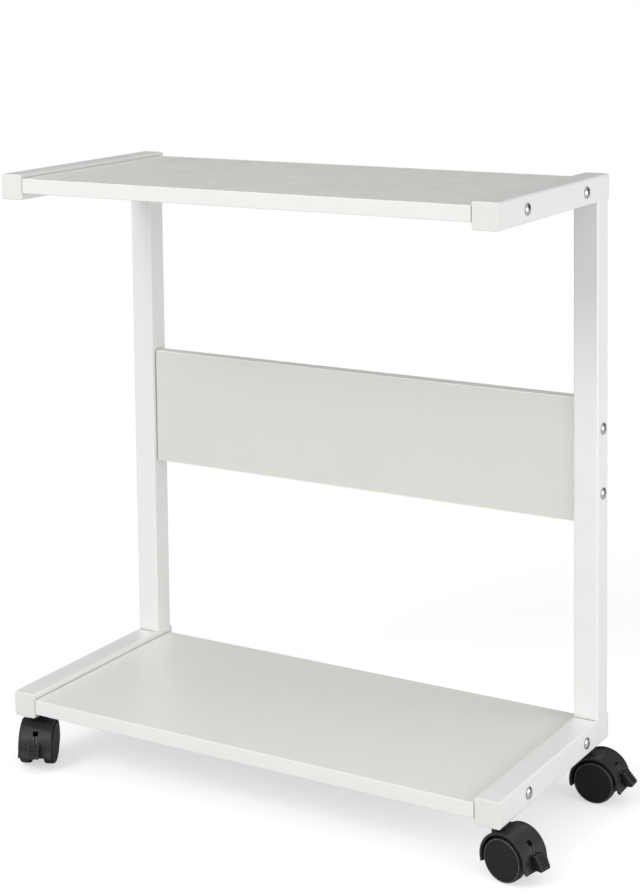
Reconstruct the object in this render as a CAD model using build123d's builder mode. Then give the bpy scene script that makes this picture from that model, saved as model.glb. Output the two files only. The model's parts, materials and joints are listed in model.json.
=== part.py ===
from build123d import *
import math
import os

# Two-tier rolling computer-tower and printer stand.
#
# Two C-shaped welded tube side frames carry an upper shelf, a lower shelf and a back panel,
# all 15 mm board bolted end-on through the tubes. Four hooded twin-wheel casters with brake
# levers screw into the lower rails.
#
# Frame: millimetres, +X to the right as seen from the open front, +Y to the back, +Z up.
# Origin: on the floor, at the centre of the footprint.

os.makedirs("parts", exist_ok=True)

# ---------------------------------------------------------------- driving dimensions
LENGTH = 545.0  # over the outer faces of the two side frames
HEIGHT = 611.5  # floor to the top of the upper rails
TUBE = 25.4  # square tube, outside
WALL = 1.5
TUBE_R = 2.0  # outside corner radius of the tube
BORE_R = 0.8  # inside corner radius of the tube
RAIL_LEN = 247.0  # rail tube length, front to back
POST_SINK = 1.4  # how far the post runs into each rail's rounded corner
CASTER_H = 51.5  # floor to the underside of the lower rails

BOARD_T = 15.0
BAND_T = 1.0  # edge banding
BAND_R = 0.7  # rounding of the bands' outer edges
BOARD_GAP = 0.6  # between a board's end and the tube
SHELF_FRONT, SHELF_BACK = -125.5, 119.5  # over the edge bands
UPPER_RECESS = 3.7  # board face below the top of the upper rails
LOWER_RECESS = 5.7
PANEL_Z0, PANEL_Z1 = 271.0, 394.0  # over the edge bands
PANEL_FRONT = 103.3

BOLT_D = 5.9
BOLT_CLEAR = 6.6
BOLT_REACH = 28.0  # how far a bolt runs into the board's end
BOLT_BORE = 38.0  # depth of the bolt hole in a board's end
DOWEL_D = 10.0  # cross-dowel (barrel) nut
DOWEL_L = 11.0
DOWEL_BORE = 13.8  # depth of its hole
DOWEL_INSET = 20.0  # from the board's end to the dowel's axis
SHELF_BOLT_Y = (-65.0, 70.0)
PANEL_BOLT_Z = (300.5, 364.5)

CASTER_INSET = 25.0  # stem axis from the rail tube's end
STEM_D = 8.0
STEM_HEX = 13.0  # across the flats of the stem's collar and of the weld nut

# ---------------------------------------------------------------- derived
HALF = LENGTH / 2
RAIL_X = HALF - TUBE / 2  # tube centre line
LOW_Z = CASTER_H + TUBE / 2  # lower rail centre line
TOP_Z = HEIGHT - TUBE / 2
RAIL_Y = RAIL_LEN / 2
POST_Y = RAIL_Y - TUBE / 2
POST_LEN = TOP_Z - LOW_Z - TUBE  # clear height between the rails
INNER = TUBE - 2 * WALL
BOARD_HALF = HALF - TUBE - BOARD_GAP
UPPER_Z1 = HEIGHT - UPPER_RECESS
LOWER_Z1 = CASTER_H + TUBE - LOWER_RECESS
STEM_Y = RAIL_Y - CASTER_INSET
# bolt axes as (y, z)
SHELF_BOLTS = [(y, z) for z in (LOW_Z, TOP_Z) for y in SHELF_BOLT_Y]
PANEL_BOLTS = [(POST_Y, z) for z in PANEL_BOLT_Z]


def save(part, name):
    part.label = name
    export_step(part, f"parts/{name}.step")


def copies(part, places):
    """One part made of a copy at each place."""
    with BuildPart() as group:
        with Locations(*places):
            add(part)
    return group.part


# ---------------------------------------------------------------- side frames
WELD_SINK, WELD_LEG = 0.6, 2.2  # the weld wedge's corner and leg, from the inside corner
WELD_MARGIN = 3.0  # from the tube's side to the weld's end
BORE_STOP = 0.01  # the post's bore stops this far from the rails' faces


def side_frame(x):
    """Top rail, post and lower rail, welded into one C, open to the front."""

    def rail_end(z):
        return Plane((x, -RAIL_Y, z), x_dir=(1, 0, 0), z_dir=(0, 1, 0))

    def post_section(above_rail):
        z = LOW_Z + TUBE / 2 + above_rail
        return Plane((x, POST_Y, z), x_dir=(1, 0, 0), z_dir=(0, 0, 1))

    with BuildPart() as frame:
        for z in (LOW_Z, TOP_Z):
            with BuildSketch(rail_end(z)):
                RectangleRounded(TUBE, TUBE, TUBE_R)
            extrude(amount=RAIL_LEN)
        with BuildSketch(post_section(-POST_SINK)):
            RectangleRounded(TUBE, TUBE, TUBE_R)
        extrude(amount=POST_LEN + 2 * POST_SINK)
        # weld wedges at the inside corners, where the post meets the rails
        for z, s in ((LOW_Z + TUBE / 2, 1), (TOP_Z - TUBE / 2, -1)):
            corner = (x - TUBE / 2 + WELD_MARGIN, POST_Y - TUBE / 2, z)
            with BuildSketch(Plane(corner, x_dir=(0, -1, 0), z_dir=(1, 0, 0))):
                with BuildLine():
                    Polyline(
                        (-WELD_SINK, -s * WELD_SINK),
                        (WELD_LEG, -s * WELD_SINK),
                        (-WELD_SINK, s * WELD_LEG),
                        close=True,
                    )
                make_face()
            extrude(amount=TUBE - 2 * WELD_MARGIN)
        # hollow bores
        for z in (LOW_Z, TOP_Z):
            with BuildSketch(rail_end(z)):
                RectangleRounded(INNER, INNER, BORE_R)
            extrude(amount=RAIL_LEN, mode=Mode.SUBTRACT)
        with BuildSketch(post_section(BORE_STOP)):
            RectangleRounded(INNER, INNER, BORE_R)
        extrude(amount=POST_LEN - 2 * BORE_STOP, mode=Mode.SUBTRACT)
        # bolt holes through both walls
        for y, z in SHELF_BOLTS + PANEL_BOLTS:
            with Locations(Location((x, y, z), (0, 90, 0))):
                Cylinder(BOLT_CLEAR / 2, TUBE + 2, mode=Mode.SUBTRACT)
        # stem holes in the lower rail's bottom wall
        for y in (-STEM_Y, STEM_Y):
            with Locations((x, y, CASTER_H + WALL / 2)):
                Cylinder(STEM_D / 2 + 0.4, WALL + 1, mode=Mode.SUBTRACT)
    return frame.part


save(side_frame(-RAIL_X), "side_frame_left")
save(side_frame(RAIL_X), "side_frame_right")

# ---------------------------------------------------------------- plastic end plugs
PLUG_HEAD = 2.5  # visible head
PLUG_DEPTH = 13.0  # sleeve inside the tube
PLUG_HOLLOW = INNER - 5.0
PLUG_R = 1.0  # corner radius of the sleeve and fins

# front-end plug, the tube's end at y = 0
with BuildPart() as plug:
    with BuildSketch(Plane.XZ):
        RectangleRounded(TUBE, TUBE, TUBE_R)
    extrude(amount=PLUG_HEAD)
    fillet(plug.faces().sort_by(Axis.Y)[0].edges(), 0.9)
    with BuildSketch(Plane.XZ):
        RectangleRounded(INNER - 1.6, INNER - 1.6, PLUG_R)
        RectangleRounded(PLUG_HOLLOW, PLUG_HOLLOW, PLUG_R, mode=Mode.SUBTRACT)
    extrude(amount=-PLUG_DEPTH)
    # grip fins
    for depth in (3.0, 6.5, 10.0):
        with BuildSketch(Plane.XZ.offset(-depth)):
            RectangleRounded(INNER - 0.2, INNER - 0.2, PLUG_R)
            RectangleRounded(PLUG_HOLLOW, PLUG_HOLLOW, PLUG_R, mode=Mode.SUBTRACT)
        extrude(amount=-1.0)

plug_places = [
    Location((x, y, z), (0, 0, turn))
    for x in (-RAIL_X, RAIL_X)
    for z in (LOW_Z, TOP_Z)
    for y, turn in ((-RAIL_Y, 0), (RAIL_Y, 180))
]
save(copies(plug.part, plug_places), "rail_end_plugs")


# ---------------------------------------------------------------- boards
def board_end(y, z):
    """Sketch plane at the boards' left end: x to the back, y up."""
    return Plane((-BOARD_HALF, y, z), x_dir=(0, 1, 0), z_dir=(1, 0, 0))


def board(y0, y1, z0, z1, bolts, is_shelf):
    """A drilled board. Dowel holes open below in a shelf, at the back in the panel."""
    with BuildPart() as body:
        with BuildSketch(board_end((y0 + y1) / 2, (z0 + z1) / 2)):
            Rectangle(y1 - y0, z1 - z0)
        extrude(amount=2 * BOARD_HALF)
        for side in (-1, 1):
            bolt_x = side * (BOARD_HALF - BOLT_BORE / 2)
            dowel_x = side * (BOARD_HALF - DOWEL_INSET)
            for y, z in bolts:
                with Locations(Location((bolt_x, y, z), (0, 90, 0))):
                    Cylinder(BOLT_CLEAR / 2, BOLT_BORE, mode=Mode.SUBTRACT)
                if is_shelf:
                    dowel_place = Location((dowel_x, y, z0 + DOWEL_BORE / 2))
                else:
                    dowel_place = Location((dowel_x, y1 - DOWEL_BORE / 2, z), (90, 0, 0))
                with Locations(dowel_place):
                    Cylinder(DOWEL_D / 2 + 0.1, DOWEL_BORE, mode=Mode.SUBTRACT)
    return body.part


def bands(y0, y1, z0, z1, is_shelf):
    """Edge bands: front and back of a shelf, top and bottom of the panel."""
    if is_shelf:
        z = (z0 + z1) / 2
        centres = ((y0 - BAND_T / 2, z), (y1 + BAND_T / 2, z))
        size = (BAND_T, z1 - z0)
        axis = Axis.Y
    else:
        y = (y0 + y1) / 2
        centres = ((y, z0 - BAND_T / 2), (y, z1 + BAND_T / 2))
        size = (y1 - y0, BAND_T)
        axis = Axis.Z
    with BuildPart() as strips:
        for centre in centres:
            with BuildSketch(board_end(*centre)):
                Rectangle(*size)
            extrude(amount=2 * BOARD_HALF)
        for face in (strips.faces().sort_by(axis)[0], strips.faces().sort_by(axis)[-1]):
            fillet(face.edges().filter_by(Axis.X), BAND_R)
    return strips.part


for name, top, rail_z in (("upper_shelf", UPPER_Z1, TOP_Z), ("lower_shelf", LOWER_Z1, LOW_Z)):
    extent = (SHELF_FRONT + BAND_T, SHELF_BACK - BAND_T, top - BOARD_T, top)
    shelf = board(*extent, [(y, rail_z) for y in SHELF_BOLT_Y], is_shelf=True)
    save(shelf, f"{name}_board")
    save(bands(*extent, is_shelf=True), f"{name}_edge_bands")

extent = (PANEL_FRONT, PANEL_FRONT + BOARD_T, PANEL_Z0 + BAND_T, PANEL_Z1 - BAND_T)
save(board(*extent, PANEL_BOLTS, is_shelf=False), "back_panel_board")
save(bands(*extent, is_shelf=False), "back_panel_edge_bands")

# ---------------------------------------------------------------- bolts and cross-dowel nuts
BOLT_LEN = TUBE + BOARD_GAP + BOLT_REACH
HEAD_R = 11.5 / 2
HEAD_H = 2.6
HEAD_RIM = 0.9  # height of the head's straight rim
SHANK_OVERLAP = 0.5  # how far the shank runs up into the head
RECESS_L, RECESS_W = 6.0, 1.3  # arms of the cross recess

# domed head above its seat at z = 0, shank below
with BuildPart() as bolt:
    with BuildSketch(Plane.XZ):
        with BuildLine():
            seat = Line((0, 0), (HEAD_R, 0))
            rim = Line(seat @ 1, (HEAD_R, HEAD_RIM))
            dome = ThreePointArc(rim @ 1, (HEAD_R * 0.74, 2.05), (0, HEAD_H))
            Line(dome @ 1, seat @ 0)
        make_face()
    revolve(axis=Axis.Z)
    with Locations((0, 0, (SHANK_OVERLAP - BOLT_LEN) / 2)):
        Cylinder(BOLT_D / 2, BOLT_LEN + SHANK_OVERLAP)
    chamfer(bolt.faces().sort_by(Axis.Z)[0].edges(), 0.8)
    with BuildSketch(Plane.XY.offset(HEAD_H + 0.1)):
        Rectangle(RECESS_L, RECESS_W)
        Rectangle(RECESS_W, RECESS_L)
    extrude(amount=-2.0, taper=8, mode=Mode.SUBTRACT)

# upright dowel with a cross hole for the bolt and a slot in its lower end
with BuildPart() as dowel:
    Cylinder(DOWEL_D / 2, DOWEL_L)
    chamfer(dowel.edges().filter_by(GeomType.CIRCLE), 0.5)
    with Locations(Location((0, 0, 0), (0, 90, 0))):
        Cylinder(BOLT_D / 2 + 0.05, DOWEL_D + 2, mode=Mode.SUBTRACT)
    with BuildSketch(Plane.XY.offset(-DOWEL_L / 2)):
        Rectangle(1.4, DOWEL_D + 1)
    extrude(amount=1.2, mode=Mode.SUBTRACT)

# the panel's dowels lie along Y, slot to the back
for name, points, tilt in (("shelf", SHELF_BOLTS, 0), ("panel", PANEL_BOLTS, -90)):
    bolt_places = []
    dowel_places = []
    for side in (-1, 1):
        for y, z in points:
            dowel_x = side * (BOARD_HALF - DOWEL_INSET)
            bolt_places.append(Location((side * HALF, y, z), (0, 90 * side, 0)))
            dowel_places.append(Location((dowel_x, y, z), (tilt, 0, 0)))
    save(copies(bolt.part, bolt_places), f"{name}_bolts")
    save(copies(dowel.part, dowel_places), f"{name}_dowel_nuts")

# ---------------------------------------------------------------- weld nuts in the lower rails
with BuildPart() as weld_nuts:
    for x in (-RAIL_X, RAIL_X):
        for y in (-STEM_Y, STEM_Y):
            with BuildSketch(Plane.XY.offset(CASTER_H + WALL)):
                with Locations((x, y)):
                    RegularPolygon(STEM_HEX / 2, 6, major_radius=False)
                    Circle(STEM_D / 2 + 0.05, mode=Mode.SUBTRACT)
            extrude(amount=6.5)
save(weld_nuts.part, "caster_weld_nuts")

# ---------------------------------------------------------------- one caster
# Local axes: the floor under the stem axis is the origin, +X trails towards the axle,
# +Y runs along the axle.
WHEEL_R = 20.4
WHEEL_IN, WHEEL_OUT = 7.2, 18.0  # |y| of a wheel's two faces from the caster's middle
TRAIL = 14.0  # stem axis to axle
AXLE_D = 6.0
WEB_W = 13.0  # hood's web between the wheels
AXLE_CENTRE = (TRAIL, 0, WHEEL_R)
# sketch plane through the axle: x to the rear, y up
SIDE = Plane(AXLE_CENTRE, x_dir=(1, 0, 0), z_dir=(0, -1, 0))


def polar(radius, degrees):
    return (radius * math.cos(math.radians(degrees)), radius * math.sin(math.radians(degrees)))


# ---------------------------------------------------------------- stem and snap ring
THREAD_LEN = 16.0
COLLAR_H = 2.6
COLLAR_Z = CASTER_H - COLLAR_H
SPINDLE_D = 7.0
SPINDLE_Z = 25.0  # lower end of the spindle
GROOVE_Z, GROOVE_H = 27.6, 1.2
RING_H = 0.9

# threaded end above the rail's wall, hexagon collar, plain spindle with a snap-ring groove
with BuildPart() as stem:
    with Locations((0, 0, CASTER_H + THREAD_LEN / 2)):
        Cylinder(STEM_D / 2, THREAD_LEN)
    chamfer(stem.faces().sort_by(Axis.Z)[-1].edges(), 0.8)
    with BuildSketch(Plane.XY.offset(COLLAR_Z)):
        RegularPolygon(STEM_HEX / 2, 6, major_radius=False)
    extrude(amount=COLLAR_H)
    with Locations((0, 0, (COLLAR_Z + SPINDLE_Z) / 2)):
        Cylinder(SPINDLE_D / 2, COLLAR_Z - SPINDLE_Z + 0.02)
    with BuildSketch(Plane.XY.offset(GROOVE_Z)):
        Circle(4.5)
        Circle(2.9, mode=Mode.SUBTRACT)
    extrude(amount=GROOVE_H, mode=Mode.SUBTRACT)
    chamfer(stem.faces().sort_by(Axis.Z)[0].edges(), 0.5)

# split ring, midway up the stem's groove
with BuildPart() as snap_ring:
    with BuildSketch(Plane.XY.offset(GROOVE_Z + (GROOVE_H - RING_H) / 2)):
        Circle(3.95)
        Circle(2.95, mode=Mode.SUBTRACT)
        with Locations((4, 0)):
            Rectangle(4, 1.6, mode=Mode.SUBTRACT)
    extrude(amount=RING_H)

# ---------------------------------------------------------------- hood
HOOD_RO, HOOD_RI = 24.4, 22.4
HOOD_LIP = 0.5  # how far the rolled lip stands out of the cover
LIP_W = 1.9
HOOD_W = 34.0
COVER_END = 197.0  # where the cover ends on the stem side, degrees about the axle from +X
SKIRT = 6.2  # how far the cover runs below the axle
FLARE = 2.6  # how far the skirt leans out
WEB_DROP = 7.0  # how far the web runs below the axle
WEB_MASK = 60.0  # square that trims the web's disc
BOSS_Z, BOSS_H = 22.0, 14.0  # lower boss, as wide as the web
COLLAR_BOSS_Z, COLLAR_BOSS_R = 34.0, 8.0
BOSS_TOP = CASTER_H - 3.0
FLANGE_Z, FLANGE_H, FLANGE_R = 42.6, 2.4, 10.0
NECK_TOP = CASTER_H - 5.2
NECK_HALF_W = 7.5
SPINDLE_BORE_Z, SPINDLE_BORE_H = 24.0, 26.0
SLOT_W = 5.6
# lever clearance about the axle: radius, start angle, end angle
LEVER_SECTORS = (
    (HOOD_RI - 0.1, -12.0, 60.0),  # pocket in the web
    (30.0, -8.0, 48.0),  # slot through the cover
)


def cover(r_out, r_in):
    """Side profile of the cover between two radii: an arc with a straight rear skirt."""
    with BuildSketch(SIDE) as profile:
        with BuildLine():
            outer = CenterArc((0, 0), r_out, 0, COVER_END)
            inner = CenterArc((0, 0), r_in, 0, COVER_END)
            Line(outer @ 1, inner @ 1)
            Polyline(outer @ 0, (r_out + FLARE, -SKIRT), (r_in + FLARE, -SKIRT), inner @ 0)
        make_face()
    return profile.sketch


cover_lip = cover(HOOD_RO + HOOD_LIP, HOOD_RI)
cover_relief = cover(HOOD_RO + HOOD_LIP + 1, HOOD_RO)
with BuildPart() as hood:
    # cover with a rolled lip along each open side
    extrude(cover_lip, amount=HOOD_W / 2, both=True)
    extrude(cover_relief, amount=HOOD_W / 2 - LIP_W, both=True, mode=Mode.SUBTRACT)
    fillet(
        hood.edges().filter_by(GeomType.CIRCLE).filter_by(lambda e: e.radius > HOOD_RO + 0.2),
        0.24,
    )
    fillet(
        hood.edges()
        .filter_by(GeomType.CIRCLE)
        .filter_by(lambda e: abs(e.radius - HOOD_RI) < 0.01),
        0.4,
    )
    # web between the wheels
    with BuildSketch(SIDE):
        Circle(HOOD_RI + 0.6)
        with Locations((0, -WEB_MASK / 2 - WEB_DROP)):
            Rectangle(WEB_MASK, WEB_MASK, mode=Mode.SUBTRACT)
    extrude(amount=WEB_W / 2, both=True)
    # stem boss with a flange
    with BuildSketch(Plane.XY.offset(BOSS_Z)):
        Circle(WEB_W / 2)
    extrude(amount=BOSS_H)
    with BuildSketch(Plane.XY.offset(COLLAR_BOSS_Z)):
        Circle(COLLAR_BOSS_R)
    extrude(amount=BOSS_TOP - COLLAR_BOSS_Z)
    chamfer(hood.faces().sort_by(Axis.Z)[-1].edges(), 0.8)
    with BuildSketch(Plane.XY.offset(FLANGE_Z)):
        Circle(FLANGE_R)
    extrude(amount=FLANGE_H)
    # wide flat neck that runs into the crown of the cover
    with BuildSketch(Plane((0, 0, 0), x_dir=(1, 0, 0), z_dir=(0, -1, 0))):
        with BuildLine():
            Polyline(
                (0, 36.0),
                (0, NECK_TOP),
                (COLLAR_BOSS_R, NECK_TOP),
                (TRAIL, WHEEL_R + HOOD_RO + 0.1),
                (TRAIL + 1.0, 43.4),
                close=True,
            )
        make_face()
    extrude(amount=NECK_HALF_W, both=True)
    # clear the wheels' pockets
    for s in (-1, 1):
        web_face = (TRAIL, s * WEB_W / 2, WHEEL_R)
        with BuildSketch(Plane(web_face, x_dir=(1, 0, 0), z_dir=(0, s, 0))):
            Circle(HOOD_RI)
        extrude(amount=20, mode=Mode.SUBTRACT)
    # spindle bore with a snap-ring chamber
    with Locations((0, 0, SPINDLE_BORE_Z + SPINDLE_BORE_H / 2)):
        Cylinder(SPINDLE_D / 2 + 0.06, SPINDLE_BORE_H, mode=Mode.SUBTRACT)
    with Locations((0, 0, GROOVE_Z + GROOVE_H / 2)):
        Cylinder(4.25, 2.4, mode=Mode.SUBTRACT)
    # axle bore
    with Locations(Location(AXLE_CENTRE, (90, 0, 0))):
        Cylinder(AXLE_D / 2, WEB_W + 2, mode=Mode.SUBTRACT)
    # lever pocket and slot
    with BuildSketch(SIDE):
        Circle(8.2)
        for radius, start, end in LEVER_SECTORS:
            with BuildLine():
                CenterArc((0, 0), radius, start, end - start)
                Line((0, 0), polar(radius, start))
                Line((0, 0), polar(radius, end))
            make_face()
    extrude(amount=SLOT_W / 2, both=True, mode=Mode.SUBTRACT)

# ---------------------------------------------------------------- brake lever
LEVER_W = 5.0
LEVER_RING_R = 7.6
ARM_R = HOOD_RO + 3.2
ARM_START, ARM_END = -7.0, 18.0  # degrees about the axle
PEDAL_W = 12.4
FACE_TOP, FACE_LOW = (28.2, 8.9), (36.2, -2.0)  # pedal's face in the side view, from the axle
RIB_R = 0.95
# curved strips about the axle: outer radius, inner radius, start angle, end angle
GUIDE_STRIP = (HOOD_RO - 0.4, HOOD_RI - 2.4, 10.0, 36.0)
GUIDE_GROOVE = (HOOD_RO + 1.0, HOOD_RO - 1.6, 20.5, 39.0)

with BuildPart() as pedal:
    with BuildSketch(SIDE):
        with BuildLine():
            back = CenterArc((0, 0), HOOD_RO + 1.3, 1.0, 17.5)
            Polyline(back @ 1, FACE_TOP, FACE_LOW)
            # the back follows the skirt's flare
            nose = Polyline(FACE_LOW, (35.6, -3.6), (34.2, -4.4), (27.4, -4.4))
            Line(nose @ 1, back @ 0)
        make_face()
    extrude(amount=PEDAL_W / 2, both=True)
    pedal_sides = pedal.faces().sort_by(Axis.Y)
    chamfer(pedal_sides[0].edges() + pedal_sides[-1].edges(), 0.45)

# ring on the axle, arm out through the slot, ribbed pedal outside the cover
with BuildPart() as lever:
    with BuildSketch(SIDE):
        Circle(LEVER_RING_R)
        with BuildLine():
            CenterArc((0, 0), ARM_R, ARM_START, ARM_END - ARM_START)
            Line((0, 0), polar(ARM_R, ARM_START))
            Line((0, 0), polar(ARM_R, ARM_END))
        make_face()
        # guide strip that fills the slot above the arm
        r_out, r_in, start, end = GUIDE_STRIP
        with BuildLine():
            CenterArc((0, 0), r_out, start, end - start)
            CenterArc((0, 0), r_in, start, end - start)
            for angle in (start, end):
                Line(polar(r_out, angle), polar(r_in, angle))
        make_face()
        Circle(AXLE_D / 2 + 0.05, mode=Mode.SUBTRACT)
    extrude(amount=LEVER_W / 2, both=True)
    # groove along the guide strip
    r_out, r_in, start, end = GUIDE_GROOVE
    with BuildSketch(SIDE):
        with BuildLine():
            CenterArc((0, 0), r_out, start, end - start)
            CenterArc((0, 0), r_in, start, end - start)
            for angle in (start, end):
                Line(polar(r_out, angle), polar(r_in, angle))
        make_face()
    extrude(amount=0.8, both=True, mode=Mode.SUBTRACT)
    add(pedal.part)
    # grip ribs across the pedal's face
    for k in range(5):
        t = 0.1 + 0.19 * k  # fraction of the way down the face
        x, z = (top + t * (low - top) for top, low in zip(FACE_TOP, FACE_LOW))
        with Locations(Location((TRAIL + x, 0, WHEEL_R + z), (90, 0, 0))):
            Cylinder(RIB_R, PEDAL_W - 1.6)

# ---------------------------------------------------------------- axle and wheels
AXLE_INSET = 3.6  # axle's end inside the wheel's outer face

# pressed through the web, the wheels run on its two ends
with BuildPart() as axle:
    with Locations(Location(AXLE_CENTRE, (90, 0, 0))):
        Cylinder(AXLE_D / 2 - 0.01, 2 * (WHEEL_OUT - AXLE_INSET))
    chamfer(axle.edges().filter_by(GeomType.CIRCLE), 0.5)


def caster_wheel(s):
    """Wheel on the s side: smooth outer disc, hub with a blind bore, hollow towards the web."""
    y_in, y_out = s * WHEEL_IN, s * WHEEL_OUT
    bore_r = AXLE_D / 2 + 0.06
    shoulder = (18.5, y_out - s * 0.2)
    tread_out = (WHEEL_R, y_out - s * 4.5)
    tread_in = (WHEEL_R, y_in + s * 1.5)
    inner_rim = (WHEEL_R - 1.2, y_in)
    with BuildPart() as wheel:
        # half section: x is the radius, y runs along the axle
        with BuildSketch(Plane(AXLE_CENTRE, x_dir=(1, 0, 0), z_dir=(0, 0, 1))):
            with BuildLine():
                # outer face with a shallow ring groove
                Polyline(
                    (0, y_out),
                    (16.2, y_out),
                    (16.6, y_out - s * 0.5),
                    (17.2, y_out - s * 0.5),
                    (17.6, y_out - s * 0.1),
                    shoulder,
                )
                Spline(
                    shoulder,
                    (19.5, y_out - s * 1.5),
                    tread_out,
                    tangents=((1, -s * 0.25), (0.02, -s)),
                )
                Line(tread_out, tread_in)
                Line(tread_in, inner_rim)
                # hollow, hub and blind bore
                Polyline(
                    inner_rim,
                    (16.6, y_in),
                    (16.2, y_out - s * 3.0),
                    (6.2, y_out - s * 3.0),
                    (5.8, y_in + s * 0.1),
                    (bore_r, y_in + s * 0.1),
                    (bore_r, y_out - s * 3.2),
                    (0, y_out - s * 3.2),
                    (0, y_out),
                )
            make_face()
        revolve(axis=Axis(AXLE_CENTRE, (0, 1, 0)))
    return wheel.part


# ---------------------------------------------------------------- the four casters
CASTER_PIECES = {
    "stem": stem.part,
    "hood": hood.part,
    "axle": axle.part,
    "wheel_a": caster_wheel(1),
    "wheel_b": caster_wheel(-1),
    "brake_lever": lever.part,
}
# stem x, stem y, trailing direction in degrees from +X, degrees the brake lever is raised
CASTERS = {
    "front_left": (-RAIL_X, -STEM_Y, -64.0, 0.0),
    "front_right": (RAIL_X, -STEM_Y, -11.5, 0.0),
    "back_left": (-RAIL_X, STEM_Y, 140.0, 0.0),
    "back_right": (RAIL_X, STEM_Y, 2.3, 5.0),
}
caster_places = []
for name, (x, y, turn, raised) in CASTERS.items():
    place = Location((x, y, 0), (0, 0, turn))
    caster_places.append(place)
    # the lever turns about the axle
    lift = Location(AXLE_CENTRE, (0, -raised, 0)) * Location((-TRAIL, 0, -WHEEL_R))
    for piece, part in CASTER_PIECES.items():
        piece_place = place * lift if piece == "brake_lever" else place
        save(copies(part, [piece_place]), f"caster_{name}_{piece}")

save(copies(snap_ring.part, caster_places), "stem_snap_rings")
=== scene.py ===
import json
import math

import bmesh
import bpy
from mathutils import Euler, Matrix, Vector


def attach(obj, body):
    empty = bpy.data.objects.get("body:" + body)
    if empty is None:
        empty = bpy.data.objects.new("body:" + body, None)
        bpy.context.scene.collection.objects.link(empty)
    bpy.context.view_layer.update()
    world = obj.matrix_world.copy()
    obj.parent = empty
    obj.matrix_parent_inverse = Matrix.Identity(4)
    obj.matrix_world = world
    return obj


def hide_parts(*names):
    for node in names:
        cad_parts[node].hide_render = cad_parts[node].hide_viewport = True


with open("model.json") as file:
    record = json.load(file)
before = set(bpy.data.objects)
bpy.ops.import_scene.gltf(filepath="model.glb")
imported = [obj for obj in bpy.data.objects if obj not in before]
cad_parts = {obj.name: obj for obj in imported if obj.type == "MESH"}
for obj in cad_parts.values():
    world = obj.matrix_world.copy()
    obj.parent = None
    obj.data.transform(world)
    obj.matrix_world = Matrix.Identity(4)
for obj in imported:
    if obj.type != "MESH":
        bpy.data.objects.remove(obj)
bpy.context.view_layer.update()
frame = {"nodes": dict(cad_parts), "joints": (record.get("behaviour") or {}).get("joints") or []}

SKY_BASE, SKY_FRONT, SKY_SIDE, SKY_TOP = 0.38, 0.46, 0.15, 0.38
KEY, SIDE, TOP = 34.0, 13.5, 2.0
FLOOR_GLOW = 0.57
MM = 0.001
nodes = frame["nodes"]
joints = {j["name"]: j for j in frame["joints"]}


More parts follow.
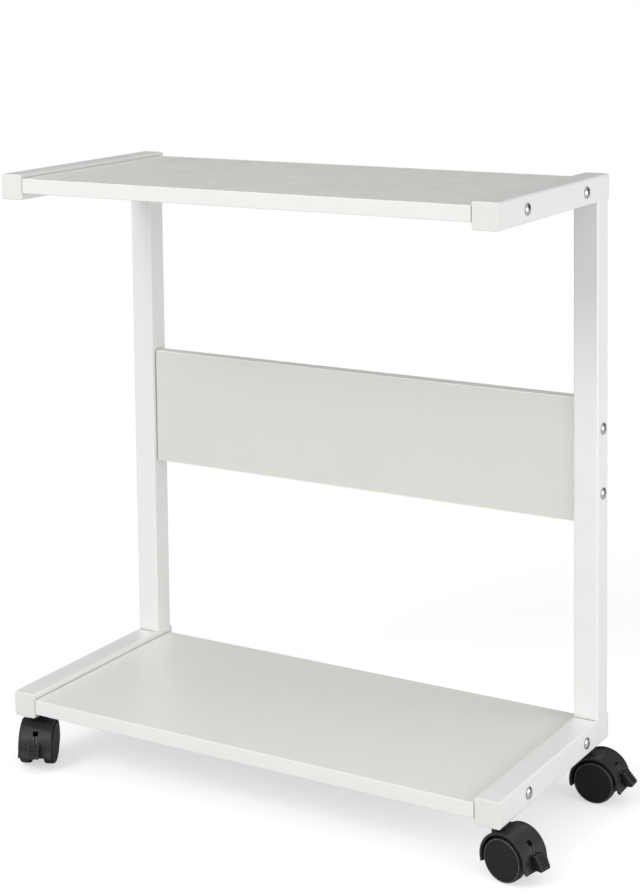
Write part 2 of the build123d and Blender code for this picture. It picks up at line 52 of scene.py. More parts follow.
# ------------------------------------------------------------------ node helpers
class Mat:
    """A small wrapper for building a Principled material out of nodes."""

    def __init__(self, name):
        self.m = bpy.data.materials.new(name)
        self.m.use_nodes = True
        self.t = self.m.node_tree
        self.b = self.t.nodes["Principled BSDF"]
        self.coord = self.t.nodes.new("ShaderNodeTexCoord")

    def node(self, kind, **sets):
        n = self.t.nodes.new(kind)
        for k, v in sets.items():
            setattr(n, k, v)
        return n

    def link(self, a, b):
        self.t.links.new(a, b)

    def put(self, socket, value):
        if isinstance(value, (int, float)):
            socket.default_value = value
        elif isinstance(value, (tuple, list)):
            socket.default_value = tuple(value) + ((1.0,) if len(value) == 3 and len(socket.default_value) == 4 else ())
        else:
            self.link(value, socket)

    def mapping(self, scale=(1, 1, 1), rot=(0, 0, 0)):
        n = self.node("ShaderNodeMapping")
        n.inputs["Scale"].default_value = scale
        n.inputs["Rotation"].default_value = rot
        self.link(self.coord.outputs["Object"], n.inputs["Vector"])
        return n.outputs["Vector"]

    def noise(self, scale, detail=2.0, rough=0.5, vector=None, distortion=0.0):
        n = self.node("ShaderNodeTexNoise")
        n.inputs["Scale"].default_value = scale
        n.inputs["Detail"].default_value = detail
        n.inputs["Roughness"].default_value = rough
        n.inputs["Distortion"].default_value = distortion
        self.link(vector or self.coord.outputs["Object"], n.inputs["Vector"])
        return n.outputs["Fac"]

    def voronoi(self, scale, feature="F1", vector=None, out="Distance"):
        n = self.node("ShaderNodeTexVoronoi", feature=feature)
        n.inputs["Scale"].default_value = scale
        self.link(vector or self.coord.outputs["Object"], n.inputs["Vector"])
        return n.outputs[out]

    def remap(self, value, a, b, lo, hi, smooth=False):
        n = self.node("ShaderNodeMapRange", interpolation_type="SMOOTHSTEP" if smooth else "LINEAR")
        n.clamp = True
        self.put(n.inputs["Value"], value)
        for k, v in (("From Min", a), ("From Max", b), ("To Min", lo), ("To Max", hi)):
            n.inputs[k].default_value = v
        return n.outputs["Result"]

    def math(self, op, a, b=0.0, clamp=False):
        n = self.node("ShaderNodeMath", operation=op)
        n.use_clamp = clamp
        self.put(n.inputs[0], a)
        self.put(n.inputs[1], b)
        return n.outputs[0]

    def mix(self, fac, a, b):
        n = self.node("ShaderNodeMix", data_type="RGBA")
        self.put(n.inputs[0], fac)
        self.put(n.inputs[6], a)
        self.put(n.inputs[7], b)
        return n.outputs[2]

    def bump(self, height, strength, distance, under=None):
        n = self.node("ShaderNodeBump")
        n.inputs["Strength"].default_value = strength
        n.inputs["Distance"].default_value = distance
        self.put(n.inputs["Height"], height)
        if under is not None:
            self.link(under, n.inputs["Normal"])
        return n.outputs["Normal"]

    def soft_edge(self, radius, samples=4):
        """Rounds every edge of the shading by a radius, in metres."""
        n = self.node("ShaderNodeBevel")
        n.samples = samples
        n.inputs["Radius"].default_value = radius
        return n.outputs["Normal"]

    def edge_highlight(self, soft, lo=0.02, hi=0.16):
        """Painted highlight mask: 1 on a convex or concave edge, where the rounded normal leaves the true one, 0 on
        open faces.
        """
        geo = self.node("ShaderNodeNewGeometry")
        n = self.node("ShaderNodeVectorMath", operation="DOT_PRODUCT")
        self.link(soft, n.inputs[0])
        self.link(geo.outputs["Normal"], n.inputs[1])
        return self.remap(self.math("SUBTRACT", 1.0, n.outputs["Value"]), lo, hi, 0.0, 1.0)

    def seam_shade(self, distance, samples=6):
        """Painted shade mask from ambient occlusion: 0 in the open, 1 deep in a seam narrower than the distance."""
        n = self.node("ShaderNodeAmbientOcclusion")
        n.samples = samples
        n.inputs["Distance"].default_value = distance
        return self.remap(n.outputs["AO"], 0.15, 0.75, 1.0, 0.0, True)

    def normal_part(self, axis):
        """|normal| along an axis of the object, 0 to 1."""
        n = self.node("ShaderNodeSeparateXYZ")
        self.link(self.coord.outputs["Normal"], n.inputs[0])
        return self.math("ABSOLUTE", n.outputs[axis])

    def attribute(self, name, axis):
        a = self.node("ShaderNodeAttribute", attribute_name=name)
        n = self.node("ShaderNodeSeparateXYZ")
        self.link(a.outputs["Vector"], n.inputs[0])
        return n.outputs[axis]

    def hump(self, value, centre, width):
        """1 at centre, falling to 0 a width away."""
        d = self.math("ABSOLUTE", self.math("SUBTRACT", value, centre))
        return self.remap(d, 0.0, width, 1.0, 0.0, True)

    def place(self, axis):
        n = self.node("ShaderNodeSeparateXYZ")
        self.link(self.coord.outputs["Object"], n.inputs[0])
        return n.outputs[axis]

    def finish(self, color, rough, normal=None, metallic=0.0, **others):
        self.put(self.b.inputs["Base Color"], color)
        self.put(self.b.inputs["Roughness"], rough)
        self.put(self.b.inputs["Metallic"], metallic)
        if normal is not None:
            self.link(normal, self.b.inputs["Normal"])
        for k, v in others.items():
            self.put(self.b.inputs[k.replace("_", " ")], v)
        return self.m


def powder_coat():
    """Satin white powder coat: orange peel, a fine grain, a few trapped specks, and painted shade in the seams."""
    m = Mat("white_powder_coat")
    peel = m.noise(620, 2.0, 0.45)
    grain = m.noise(3600, 1.5, 0.5)
    cloud = m.noise(9, 3.0, 0.5)
    speck = m.remap(m.voronoi(420), 0.0, 0.06, 1.0, 0.0, True)
    scatter = m.remap(m.noise(70, 1.0), 0.62, 0.66, 0.0, 1.0)
    speck = m.math("MULTIPLY", speck, scatter)
    base = m.mix(cloud, (0.832, 0.832, 0.822), (0.862, 0.862, 0.852))
    base = m.mix(m.math("MULTIPLY", speck, 0.22), base, (0.62, 0.61, 0.58))
    # painted shade: the coat darkens towards grey in seams and inner corners
    base = m.mix(m.math("MULTIPLY", m.seam_shade(0.005), 0.7), base, (0.32, 0.31, 0.29))
    rough = m.remap(m.noise(40, 3.0), 0.3, 0.7, 0.33, 0.43)
    n = m.bump(peel, 0.16, 0.00035, m.soft_edge(0.0007))
    n = m.bump(grain, 0.06, 0.00006, n)
    return m.finish(base, rough, n, Coat_Weight=0.12, Coat_Roughness=0.25)


def plug_plastic():
    m = Mat("white_plug_plastic")
    tex = m.noise(2600, 2.0, 0.6)
    cloud = m.noise(35, 3.0)
    base = m.mix(cloud, (0.800, 0.792, 0.765), (0.835, 0.828, 0.804))
    # painted shade: the plug darkens in the seam against the tube
    base = m.mix(m.math("MULTIPLY", m.seam_shade(0.003), 0.5), base, (0.36, 0.35, 0.32))
    rough = m.remap(m.noise(180, 2.0), 0.3, 0.7, 0.42, 0.55)
    n = m.bump(tex, 0.14, 0.00007, m.soft_edge(0.0006))
    return m.finish(base, rough, n, Subsurface_Weight=0.05, Subsurface_Scale=0.002)


def melamine(cut_axis, shade_factor=1.0):
    """Off-white melamine faces. The raw chipboard shows where the surface doesn't face along cut_axis."""
    m = Mat("melamine_board_%s" % "xyz"[cut_axis])
    cloud = m.noise(7, 4.0, 0.55)
    fleck = m.noise(900, 3.0, 0.65)
    # painted shade: a shade factor below 1 darkens the whole board
    base = m.mix(cloud, tuple(c * shade_factor for c in (0.806, 0.798, 0.752)), tuple(c * shade_factor for c in (0.842, 0.835, 0.794)))
    base = m.mix(m.remap(fleck, 0.58, 0.72, 0.0, 0.16), base, (0.68, 0.67, 0.64))
    # painted shade: the board darkens in seams and beside the rails, where their shade falls
    base = m.mix(m.math("MULTIPLY", m.seam_shade(0.007, 8), 0.8), base, (0.30, 0.29, 0.26))
    pore = m.noise(1500, 2.0, 0.6)
    # chipboard
    chips = m.voronoi(420, out="Color")
    sep = m.node("ShaderNodeSeparateColor")
    m.link(chips, sep.inputs[0])
    chip = m.mix(sep.outputs[0], (0.33, 0.22, 0.12), (0.56, 0.42, 0.26))
    raw = m.remap(m.normal_part(cut_axis), 0.55, 0.75, 1.0, 0.0)
    base = m.mix(raw, base, chip)
    rough = m.math("ADD", m.remap(m.noise(60, 2.0), 0.3, 0.7, 0.36, 0.46), m.math("MULTIPLY", raw, 0.4))
    n = m.bump(pore, 0.12, 0.00008)
    n = m.bump(m.math("MULTIPLY", sep.outputs[1], raw), 0.5, 0.0005, n)
    return m.finish(base, rough, n)


def edge_band():
    """Extruded band: faint drawn streaks along its length, and a thin line of painted shade where it meets the board's
    faces.
    """
    m = Mat("edge_band_plastic")
    streak = m.noise(260, 2.0, 0.5, vector=m.mapping((0.05, 1, 1)))
    cloud = m.noise(14, 3.0)
    base = m.mix(cloud, (0.845, 0.840, 0.818), (0.878, 0.874, 0.855))
    base = m.mix(m.remap(streak, 0.55, 0.75, 0.0, 0.08), base, (0.72, 0.71, 0.68))
    # painted shade: darker in the seam where the band meets the board
    base = m.mix(m.math("MULTIPLY", m.seam_shade(0.003), 0.5), base, (0.40, 0.38, 0.34))
    rough = m.remap(streak, 0.3, 0.7, 0.36, 0.46)
    n = m.bump(streak, 0.08, 0.0001, m.soft_edge(0.0004))
    return m.finish(base, rough, n)


def bright_metal(name, color, lo, hi, scratch=0.05, edge=0.0002):
    m = Mat(name)
    fine = m.noise(2200, 3.0, 0.6)
    swirl = m.noise(420, 2.0, 0.5, distortion=1.5)
    tone_and_seam_shade = m.mix(m.noise(90, 3.0), color, tuple(c * 0.86 for c in color))
    # painted shade: the metal goes near black in seams, such as where a bolt head seats
    tone_and_seam_shade = m.mix(m.math("MULTIPLY", m.seam_shade(0.0035), 0.95), tone_and_seam_shade, (0.035, 0.035, 0.035))
    rough = m.remap(swirl, 0.3, 0.7, lo, hi)
    n = m.bump(fine, scratch, 0.00005, m.soft_edge(edge))
    return m.finish(tone_and_seam_shade, rough, n, 1.0)


def black_plastic(name, texture, lo, hi, base=0.0215, spread=0.007, edge=0.00045, glint_grey=0.11, guide=None):
    """Moulded black nylon: spark-eroded texture, faint flow clouds, edges lightened grey as a painted highlight,
    painted shade in the seams, and a little dust.
    """
    m = Mat(name)
    spark = m.noise(texture, 2.5, 0.65)
    cloud = m.noise(45, 4.0, 0.6)
    dust = m.noise(320, 4.0, 0.7)
    soft = m.soft_edge(edge, 6)
    edge_glint = m.math("MULTIPLY", m.edge_highlight(soft), m.remap(m.noise(260, 3.0, 0.6), 0.3, 0.65, 0.35, 1.0))
    color = m.mix(cloud, (base, base, base * 1.04), (base + spread,) * 3)
    color = m.mix(m.remap(dust, 0.60, 0.80, 0.0, 0.12), color, (0.055, 0.054, 0.052))
    # painted highlight: edges lightened towards grey, as if catching the light
    color = m.mix(m.math("MULTIPLY", edge_glint, 0.75), color, (glint_grey,) * 3)
    # painted shade: near black in seams and recesses
    color = m.mix(m.math("MULTIPLY", m.seam_shade(0.003), 0.6), color, (0.003, 0.003, 0.003))
    rough = m.math("SUBTRACT", m.remap(m.noise(150, 2.0), 0.3, 0.7, lo, hi), m.math("MULTIPLY", edge_glint, 0.08))
    n = m.bump(spark, 0.20, 0.00010, soft)
    if guide:
        lines = guide_lines(m, guide)
        # painted highlight: the raised lines are lightened grey, as if their crests caught the light
        color = m.mix(m.math("MULTIPLY", lines, 0.85), color, (0.15, 0.15, 0.148))
        n = m.bump(lines, 0.5, 0.00025, n)
    return m.finish(color, rough, n, Specular_IOR_Level=0.40)


def guide_lines(m, caster):
    """Fine raised lines along the lever's guide strip, where it shows through the slot in the hood."""
    swivel, spin = joints[caster + "_swivel"]["pos_m"], joints[caster + "_wheel_a_spin"]["pos_m"]
    n = m.node("ShaderNodeMapping", vector_type="TEXTURE")
    n.inputs["Location"].default_value = spin
    n.inputs["Rotation"].default_value = (0, 0, math.atan2(spin[1] - swivel[1], spin[0] - swivel[0]))
    n.inputs["Scale"].default_value = (MM, MM, MM)
    m.link(m.coord.outputs["Object"], n.inputs["Vector"])
    xyz = m.node("ShaderNodeSeparateXYZ")
    m.link(n.outputs["Vector"], xyz.inputs[0])
    x, y, z = xyz.outputs
    radius = m.math("SQRT", m.math("ADD", m.math("MULTIPLY", x, x), m.math("MULTIPLY", z, z)))
    angle = m.math("ARCTAN2", z, x)
    shown = m.math("MULTIPLY", m.remap(radius, 23.2, 23.6, 0.0, 1.0), m.remap(radius, 25.2, 25.5, 1.0, 0.0))
    shown = m.math("MULTIPLY", shown, m.remap(angle, 0.15, 0.19, 0.0, 1.0))
    shown = m.math("MULTIPLY", shown, m.remap(m.math("ABSOLUTE", y), 2.35, 2.6, 1.0, 0.0))
    wave = m.remap(m.math("COSINE", m.math("MULTIPLY", y, 2 * math.pi / 1.75)), 0.1, 0.7, 0.0, 1.0)
    return m.math("MULTIPLY", shown, wave)


def black_wheel():
    """Smooth satin disc with faint turned rings, a glossier rim ring lightened by a painted highlight, and a tread
    greyed by use.

    The mesh carries (radius, height) in millimetres, about the wheel's own axle.
    """
    m = Mat("black_wheel_plastic")
    radius, height = m.attribute("turned", 0), m.attribute("turned", 1)
    spark = m.noise(1800, 2.0, 0.6)
    cloud = m.noise(60, 4.0, 0.6)
    soft = m.soft_edge(0.0004, 6)
    outer = m.remap(height, 16.9, 17.2, 0.0, 1.0)
    rim_highlight = m.math("MULTIPLY", m.hump(radius, 18.95, 0.55), outer)
    patchy = m.remap(m.noise(150, 3.0, 0.6), 0.3, 0.62, 0.35, 1.0)
    rim_highlight = m.math("MULTIPLY", rim_highlight, patchy)
    tread = m.remap(radius, 20.05, 20.35, 0.0, 1.0)
    color = m.mix(cloud, (0.0090, 0.0090, 0.0096), (0.0128, 0.0128, 0.0128))
    scuff = m.remap(m.noise(700, 4.0, 0.7), 0.5, 0.75, 0.0, 0.10)
    color = m.mix(scuff, color, (0.050, 0.049, 0.047))
    # painted highlight: a thin light grey ring near the rim
    color = m.mix(m.math("MULTIPLY", rim_highlight, 0.9), color, (0.20, 0.20, 0.198))
    dirt = m.math("MULTIPLY", tread, m.remap(m.noise(420, 4.0, 0.7), 0.35, 0.7, 0.1, 0.55))
    color = m.mix(dirt, color, (0.065, 0.063, 0.058))
    rough = m.remap(m.noise(240, 3.0, 0.6), 0.3, 0.7, 0.34, 0.46)
    rough = m.math("ADD", m.math("SUBTRACT", rough, m.math("MULTIPLY", rim_highlight, 0.14)), m.math("MULTIPLY", dirt, 0.4))
    rings = m.math("SINE", m.math("MULTIPLY", radius, 9.0))
    n = m.bump(m.math("MULTIPLY", rings, outer), 0.10, 0.00004, soft)
    n = m.bump(spark, 0.10, 0.00007, n)
    return m.finish(color, rough, n, Specular_IOR_Level=0.28)


COAT = powder_coat()
PLUG = plug_plastic()
BOARD = melamine(2)
# painted shade: the back panel board is drawn 12% darker than the shelves
BOARD_V_SHADED = melamine(1, 0.88)
BAND = edge_band()
CHROME = bright_metal("chromed_steel", (0.74, 0.74, 0.75), 0.10, 0.20)
ZINC = bright_metal("zinc_plated_steel", (0.60, 0.61, 0.63), 0.28, 0.42, 0.12)
HOOD = black_plastic("black_moulded_nylon", 2300, 0.32, 0.44)
PEDAL = {
    c: black_plastic("black_pedal_plastic_" + c, 1900, 0.28, 0.40, 0.0085, 0.004, 0.0006, 0.19, c)
    for c in ("front_left", "front_right", "back_left", "back_right")
}
WHEEL = black_wheel()


def dress(obj, mat):
    obj.data.materials.clear()
    obj.data.materials.append(mat)


def material_for(name):
    if name.startswith("side_frame"):
        return COAT
    if name == "rail_end_plugs":
        return PLUG
    if name.endswith("edge_bands"):
        return BAND
    if name == "back_panel_board":
        return BOARD_V_SHADED
    if name.endswith("_board"):
        return BOARD
    if name.endswith("_bolts"):
        return CHROME
    if name.endswith("_brake_lever"):
        return PEDAL[name[len("caster_"):-len("_brake_lever")]]
    if name.endswith("_hood"):
        return HOOD
    if "_wheel_" in name:
        return WHEEL
    return ZINC


for name, obj in nodes.items():
    dress(obj, material_for(name))

# ------------------------------------------------------------------ mesh helpers
def rounded(points, radius, steps=4, closed=False):
    """Rounds the corners of a 2-D polyline. radius is one number, or one per point."""
    n = len(points)
    made = []
    for i, p in enumerate(points):
        r_i = radius[i] if isinstance(radius, (list, tuple)) else radius
        if (not closed and i in (0, n - 1)) or r_i <= 0:
            made.append(p)
            continue
        a, c = Vector(points[i - 1]), Vector(points[(i + 1) % n])
        b = Vector(p)
        u_, v_ = (a - b), (c - b)
        lu, lv = u_.length, v_.length
        if lu < 1e-9 or lv < 1e-9:
            made.append(p)
            continue
        u_, v_ = u_ / lu, v_ / lv
        half = math.acos(max(-1.0, min(1.0, u_.dot(v_)))) / 2
        d = min(r_i / max(math.tan(half), 1e-6), lu * 0.48, lv * 0.48)
        s, e = b + u_ * d, b + v_ * d
        for k in range(steps + 1):
            t = k / steps
            q = s * (1 - t) ** 2 + b * 2 * t * (1 - t) + e * t * t
            made.append((q.x, q.y))
    return made


def lathe(bm, profile, m, n=96):
    """Turns a profile of (radius, height) about m's z axis. A radius of 0 closes it."""
    rings = []
    for rad, h in profile:
        if rad < 1e-9:
            rings.append([bm.verts.new(m @ Vector((0, 0, h)))])
        else:
            rings.append([bm.verts.new(m @ Vector((rad * math.cos(2 * math.pi * i / n), rad * math.sin(2 * math.pi * i / n), h))) for i in range(n)])
    for a, b in zip(rings, rings[1:]):
        for i in range(n):
            j = (i + 1) % n
            if len(a) == 1 and len(b) > 1:
                bm.faces.new((a[0], b[i], b[j]))
            elif len(b) == 1 and len(a) > 1:
                bm.faces.new((a[i], b[0], a[j]))
            elif len(a) > 1:
                bm.faces.new((a[i], b[i], b[j], a[j]))


def bridge(bm, a, b):
    n = len(a)
    for i in range(n):
        j = (i + 1) % n
        bm.faces.new((a[i], a[j], b[j], b[i]))


def piece(name, bm, mat, body, stands_for=(), sharp=30):
    bmesh.ops.remove_doubles(bm, verts=bm.verts, dist=1e-7)
    bmesh.ops.recalc_face_normals(bm, faces=bm.faces)
    me = bpy.data.meshes.new(name)
    bm.to_mesh(me)
    bm.free()
    for p in me.polygons:
        p.use_smooth = True
    me.set_sharp_from_angle(angle=math.radians(sharp))
    me.materials.append(mat)
    o = bpy.data.objects.new(name, me)
    bpy.context.scene.collection.objects.link(o)
    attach(o, body)
    if stands_for:
        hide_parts(*stands_for)
    return o


# ------------------------------------------------------------------ casters
TRAIL, AXLE_Z = 14.0, 20.4


def caster_matrix(name):
    """Local caster axes, in millimetres, to the row's frame in metres."""
    swivel, spin = joints[name + "_swivel"], joints[name + "_wheel_a_spin"]
    p, q = Vector(swivel["pos_m"]), Vector(spin["pos_m"])
    turn = math.atan2(q.y - p.y, q.x - p.x)
    return Matrix.Translation((p.x, p.y, 0)) @ Matrix.Rotation(turn, 4, "Z") @ Matrix.Scale(MM, 4)


def wheel(name, side):
    """Smooth dished disc, stepped rim ring, crowned tread with a parting line, ribbed hollow back and hub."""
    s = 1.0 if side == "a" else -1.0
    m = caster_matrix(name) @ Matrix.Translation((TRAIL, 0, AXLE_Z)) @ Matrix.Rotation(-s * math.pi / 2, 4, "X")
    bm = bmesh.new()
    corners = [
        (0.0, 17.50), (11.0, 17.58), (17.7, 17.70), (17.95, 17.28), (18.45, 17.28), (18.7, 17.74), (19.3, 17.62), (20.05, 16.7),
        (20.4, 15.0), (20.4, 12.65), (20.26, 12.55), (20.4, 12.45), (20.4, 9.0), (20.0, 7.7), (19.0, 7.22), (17.4, 7.22), (16.6, 7.9), (16.4, 13.9),
        (15.8, 14.6), (7.0, 14.6), (6.3, 14.0), (6.0, 7.9), (5.5, 7.32), (3.5, 7.32), (3.06, 7.7), (3.06, 14.8), (0.0, 14.8),
    ]
    radii = [0, 2.0, 0.22, 0.2, 0.2, 0.22, 0.4, 0.9, 1.2, 0.03, 0.03, 0.03, 1.0, 0.8, 0.4, 0.4, 0.5, 0.6, 0.6, 0.6, 0.5, 0.4, 0.3, 0.2, 0.15, 0, 0]
    lathe(bm, rounded(corners, radii, 4), m, 112)
    # ribs in the hollow back
    for k in range(8):
        a = 2 * math.pi * k / 8 + 0.2
        c, d = math.cos(a), math.sin(a)
        outline = rounded([(5.9, 8.6), (16.45, 8.6), (16.45, 14.9), (5.9, 14.9)], [0.6, 0.6, 0, 0], 3, closed=True)
        loops = []
        for w in (-0.55, -0.45, 0.45, 0.55):
            shrink = 0.1 if abs(w) > 0.5 else 0.0
            loops.append([bm.verts.new(m @ Vector((x * c - w * d, x * d + w * c, h + (shrink if h < 12 else 0)))) for x, h in outline])
        for lo_, hi_ in zip(loops, loops[1:]):
            bridge(bm, lo_, hi_)
        bm.faces.new(loops[0])
        bm.faces.new(list(reversed(loops[-1])))
    o = piece("%s_wheel_disc_%s" % (name, side), bm, WHEEL, "%s_wheel_%s" % (name, side), ["caster_%s_wheel_%s" % (name, side)], 40)
    turned = o.data.attributes.new("turned", "FLOAT_VECTOR", "POINT")
    back = m.inverted()
    for v in o.data.vertices:
        q = back @ v.co
        turned.data[v.index].vector = (math.hypot(q.x, q.y), q.z, 0.0)


for caster in ("front_left", "front_right", "back_left", "back_right"):
    for side in "ab":
        wheel(caster, side)


# ------------------------------------------------------------------ bolts
BOLT_LEN = 54.0
HEAD_TOP = 2.6


def bolt(bm, m, n=48):
    """Domed pan head with a stepped skirt and a cross recess, on a shank with a rolled thread. The head's seat is z = 0."""

    def ring(radius, h):
        return [bm.verts.new(m @ Vector((radius(i) * math.cos(2 * math.pi * i / n), radius(i) * math.sin(2 * math.pi * i / n), h))) for i in range(n)]

    def plus(arm, half):
        def radius(i):
            t = 2 * math.pi * i / n
            c, s = abs(math.cos(t)), abs(math.sin(t))
            return min(arm, arm / max(c, s), max(half / max(min(c, s), 1e-6), half * 1.4))
        return radius

    skirt = rounded(
        [(2.95, 0.0), (5.45, 0.0), (5.75, 0.22), (5.75, 0.78), (5.35, 1.25), (4.5, 1.85), (3.6, 2.25), (2.75, HEAD_TOP - 0.12)],
        [0, 0.1, 0.12, 0.12, 0.3, 0.5, 0.5, 0], 3,
    )
    rings = [ring(lambda i, q=rad: q, h) for rad, h in skirt]
    rings.append(ring(plus(2.45, 0.66), HEAD_TOP - 0.04))
    rings.append(ring(plus(2.36, 0.60), HEAD_TOP - 0.16))
    rings.append(ring(plus(1.75, 0.48), HEAD_TOP - 1.55))
    for a, b in zip(rings, rings[1:]):
        bridge(bm, a, b)
    bottom = bm.verts.new(m @ Vector((0, 0, HEAD_TOP - 1.85)))
    for i in range(n):
        bm.faces.new((rings[-1][i], rings[-1][(i + 1) % n], bottom))
    # plain neck, then the thread
    neck = ring(lambda i: 2.95, -(BOLT_LEN - 26.0))
    bridge(bm, neck, rings[0])
    last, pitch, steps = neck, 1.0, 5
    total = 25 * steps
    for k in range(1, total + 1):
        h = k / steps * pitch
        fade = min(1.0, k / (2 * steps), (total - k) / (2 * steps))

        def crest(i, h=h, fade=fade):
            phase = (h / pitch + i / n) % 1.0
            return 2.95 - 0.36 * fade * (1 - abs(2 * phase - 1))

        here = ring(crest, -(BOLT_LEN - 26.0) - h)
        bridge(bm, here, last)
        last = here
    tip = ring(lambda i: 2.3, -BOLT_LEN + 0.15)
    bridge(bm, tip, last)
    end = bm.verts.new(m @ Vector((0, 0, -BOLT_LEN)))
    for i in range(n):
        bm.faces.new((tip[(i + 1) % n], tip[i], end))


def bolt_place(sx, y, z, turn):
    return Matrix.Scale(MM, 4) @ Matrix.Translation((sx * 272.5, y, z)) @ Matrix.Rotation(sx * math.pi / 2, 4, "Y") @ Matrix.Rotation(turn, 4, "Z")


bm = bmesh.new()
k = 0
for sx in (-1, 1):
    for z in (51.5 + 12.7, 611.5 - 12.7):
        for y in (-65.0, 70.0):
            k += 1
            bolt(bm, bolt_place(sx, y, z, 0.35 + 0.77 * k))
piece("shelf_bolt_set", bm, CHROME, "stand", ["shelf_bolts"], 28)
bm = bmesh.new()
for sx in (-1, 1):
    for z in (300.5, 364.5):
        k += 1
        bolt(bm, bolt_place(sx, 110.8, z, 0.35 + 0.77 * k))
piece("panel_bolt_set", bm, CHROME, "stand", ["panel_bolts"], 28)


# ------------------------------------------------------------------ floor, light, camera
bm = bmesh.new()
bmesh.ops.create_grid(bm, x_segments=40, y_segments=40, size=9.0)
floor_mesh = bpy.data.meshes.new("floor")
bm.to_mesh(floor_mesh)
bm.free()
floor = bpy.data.objects.new("floor", floor_mesh)
floor.location = (0, 0, -0.0004)
bpy.context.scene.collection.objects.link(floor)
fm = Mat("pale_floor")
fm.put(fm.b.inputs["Base Color"], fm.mix(fm.noise(3, 3), (0.61, 0.61, 0.615), (0.625, 0.625, 0.63)))
fm.b.inputs["Roughness"].default_value = 0.42
fm.b.inputs["Specular IOR Level"].default_value = 0.25
fm.b.inputs["Emission Color"].default_value = (1, 1, 1, 1)
seen = fm.node("ShaderNodeLightPath").outputs["Is Camera Ray"]
fm.put(fm.b.inputs["Emission Strength"], fm.math("MULTIPLY", seen, FLOOR_GLOW))
# away from the object the floor runs out to plain white, so no horizon shows
glow = fm.node("ShaderNodeEmission")
glow.inputs["Color"].default_value = (1, 1, 1, 1)
fm.put(glow.inputs["Strength"], fm.remap(seen, 0.0, 1.0, 0.55, 1.0))
length = fm.node("ShaderNodeVectorMath", operation="LENGTH")
fm.link(fm.coord.outputs["Object"], length.inputs[0])
fade = fm.remap(length.outputs["Value"], 0.55, 1.5, 0.0, 1.0, True)
blend = fm.node("ShaderNodeMixShader")
fm.link(fade, blend.inputs[0])
fm.link(fm.b.outputs[0], blend.inputs[1])
fm.link(glow.outputs[0], blend.inputs[2])
fm.link(blend.outputs[0], fm.t.nodes["Material Output"].inputs["Surface"])
floor.data.materials.append(fm.m)

scene = bpy.context.scene
world = bpy.data.worlds.new("studio")
scene.world = world
world.use_nodes = True
wt = world.node_tree
bg = wt.nodes["Background"]
out = wt.nodes["World Output"]
coord = wt.nodes.new("ShaderNodeTexCoord")
sep = wt.nodes.new("ShaderNodeSeparateXYZ")
wt.links.new(coord.outputs["Generated"], sep.inputs[0])


def wmath(op, a, b, clamp=False):
    n = wt.nodes.new("ShaderNodeMath")
    n.operation = op
    n.use_clamp = clamp
    for socket, value in zip(n.inputs, (a, b)):
        if isinstance(value, (int, float)):
            socket.default_value = value
        else:
            wt.links.new(value, socket)
    return n.outputs[0]


# brighter from the front (-y), the right (+x) and above
sky = wmath("MULTIPLY_ADD", sep.outputs[1], -SKY_FRONT)
sky.node.inputs[2].default_value = SKY_BASE
side = wmath("MULTIPLY_ADD", sep.outputs[0], SKY_SIDE)
wt.links.new(sky, side.node.inputs[2])
high = wmath("MULTIPLY_ADD", wmath("MAXIMUM", sep.outputs[2], 0.0), SKY_TOP)
wt.links.new(side, high.node.inputs[2])
wt.links.new(wmath("MAXIMUM", high, 0.16), bg.inputs["Strength"])
bg.inputs["Color"].default_value = (1, 1, 1, 1)
# mirror-like surfaces see a dim band at eye level, like the unlit walls of a studio
wall = wt.nodes.new("ShaderNodeBackground")
wall.inputs["Color"].default_value = (1, 1, 1, 1)
band = wt.nodes.new("ShaderNodeMapRange")
band.clamp = True
band.interpolation_type = "SMOOTHSTEP"
wt.links.new(sep.outputs[2], band.inputs["Value"])
for k, v in (("From Min", 0.05), ("From Max", 0.60), ("To Min", 0.45), ("To Max", 1.0)):
    band.inputs[k].default_value = v
wt.links.new(wmath("MULTIPLY", band.outputs["Result"], wmath("MAXIMUM", high, 0.05)), wall.inputs["Strength"])
white = wt.nodes.new("ShaderNodeBackground")
white.inputs["Color"].default_value = (1, 1, 1, 1)
white.inputs["Strength"].default_value = 1.0
path = wt.nodes.new("ShaderNodeLightPath")
shiny = wt.nodes.new("ShaderNodeMixShader")
wt.links.new(path.outputs["Is Glossy Ray"], shiny.inputs[0])
wt.links.new(bg.outputs[0], shiny.inputs[1])
wt.links.new(wall.outputs[0], shiny.inputs[2])
both = wt.nodes.new("ShaderNodeMixShader")
wt.links.new(path.outputs["Is Camera Ray"], both.inputs[0])
wt.links.new(shiny.outputs[0], both.inputs[1])
wt.links.new(white.outputs[0], both.inputs[2])
wt.links.new(both.outputs[0], out.inputs["Surface"])


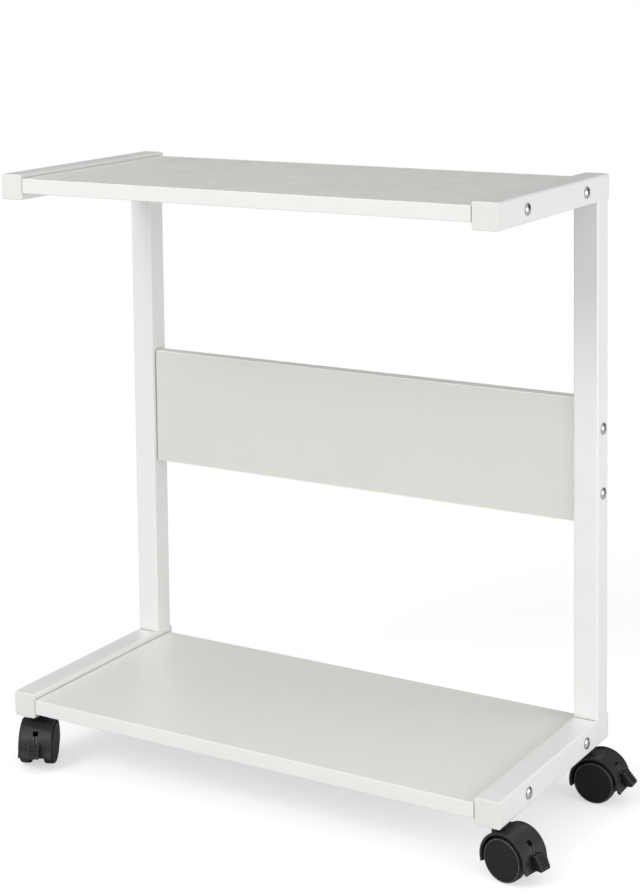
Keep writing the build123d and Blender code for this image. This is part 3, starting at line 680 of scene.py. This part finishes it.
def area(name, place, aim, size, power, color=(1, 1, 1)):
    data = bpy.data.lights.new(name, "AREA")
    data.shape = "RECTANGLE"
    data.size, data.size_y = size
    data.energy = power
    data.color = color
    o = bpy.data.objects.new(name, data)
    o.location = place
    o.rotation_euler = (Vector(aim) - Vector(place)).to_track_quat("-Z", "Y").to_euler()
    scene.collection.objects.link(o)
    return o


area("key_front", (-1.0, -2.4, 2.15), (0, 0, 0.3), (1.2, 1.2), KEY)
area("side_right", (1.9, -0.05, 0.47), (0.2, 0.05, 0.30), (1.7, 0.9), SIDE)
area("top_soft", (-0.5, -0.5, 2.6), (0, 0, 0), (1.2, 1.2), TOP)

cam_data = bpy.data.cameras.new("camera")
camera = bpy.data.objects.new("camera", cam_data)
scene.collection.objects.link(camera)
scene.camera = camera
CAM_PLACE = (1.0149, -1.7219, 0.8320)
CAM_AZ, CAM_EL, CAM_ROLL = 33.066, 5.246, -0.957
cam_data.sensor_fit = "AUTO"
cam_data.sensor_width = 36.0
cam_data.lens = 82.215
cam_data.clip_start = 0.05
cam_data.clip_end = 60
az, el, roll = (math.radians(a) for a in (CAM_AZ, CAM_EL, CAM_ROLL))
back = Vector((math.sin(az) * math.cos(el), -math.cos(az) * math.cos(el), math.sin(el)))
right = (-back).cross(Vector((0, 0, 1))).normalized()
up_v = right.cross(-back)
r = math.cos(roll) * right + math.sin(roll) * up_v
u = -math.sin(roll) * right + math.cos(roll) * up_v
camera.matrix_world = Matrix(((r.x, u.x, back.x, CAM_PLACE[0]), (r.y, u.y, back.y, CAM_PLACE[1]), (r.z, u.z, back.z, CAM_PLACE[2]), (0, 0, 0, 1)))
bpy.context.view_layer.update()
# The picture is an off-centre crop, which is a lens shift. It applies only where the camera stands for that picture.
for prop, value in (("shift_x", 0.12558), ("shift_y", -0.34622)):
    d = cam_data.driver_add(prop).driver
    d.type = "SCRIPTED"
    v = d.variables.new()
    v.name = "x"
    v.type = "TRANSFORMS"
    v.targets[0].id = camera
    v.targets[0].transform_type = "LOC_X"
    v.targets[0].transform_space = "WORLD_SPACE"
    d.expression = "%r if abs(x - %r) < 0.0005 else 0" % (value, CAM_PLACE[0])

scene.view_settings.view_transform = "Standard"
scene.view_settings.look = "None"
scene.view_settings.exposure = 0.0
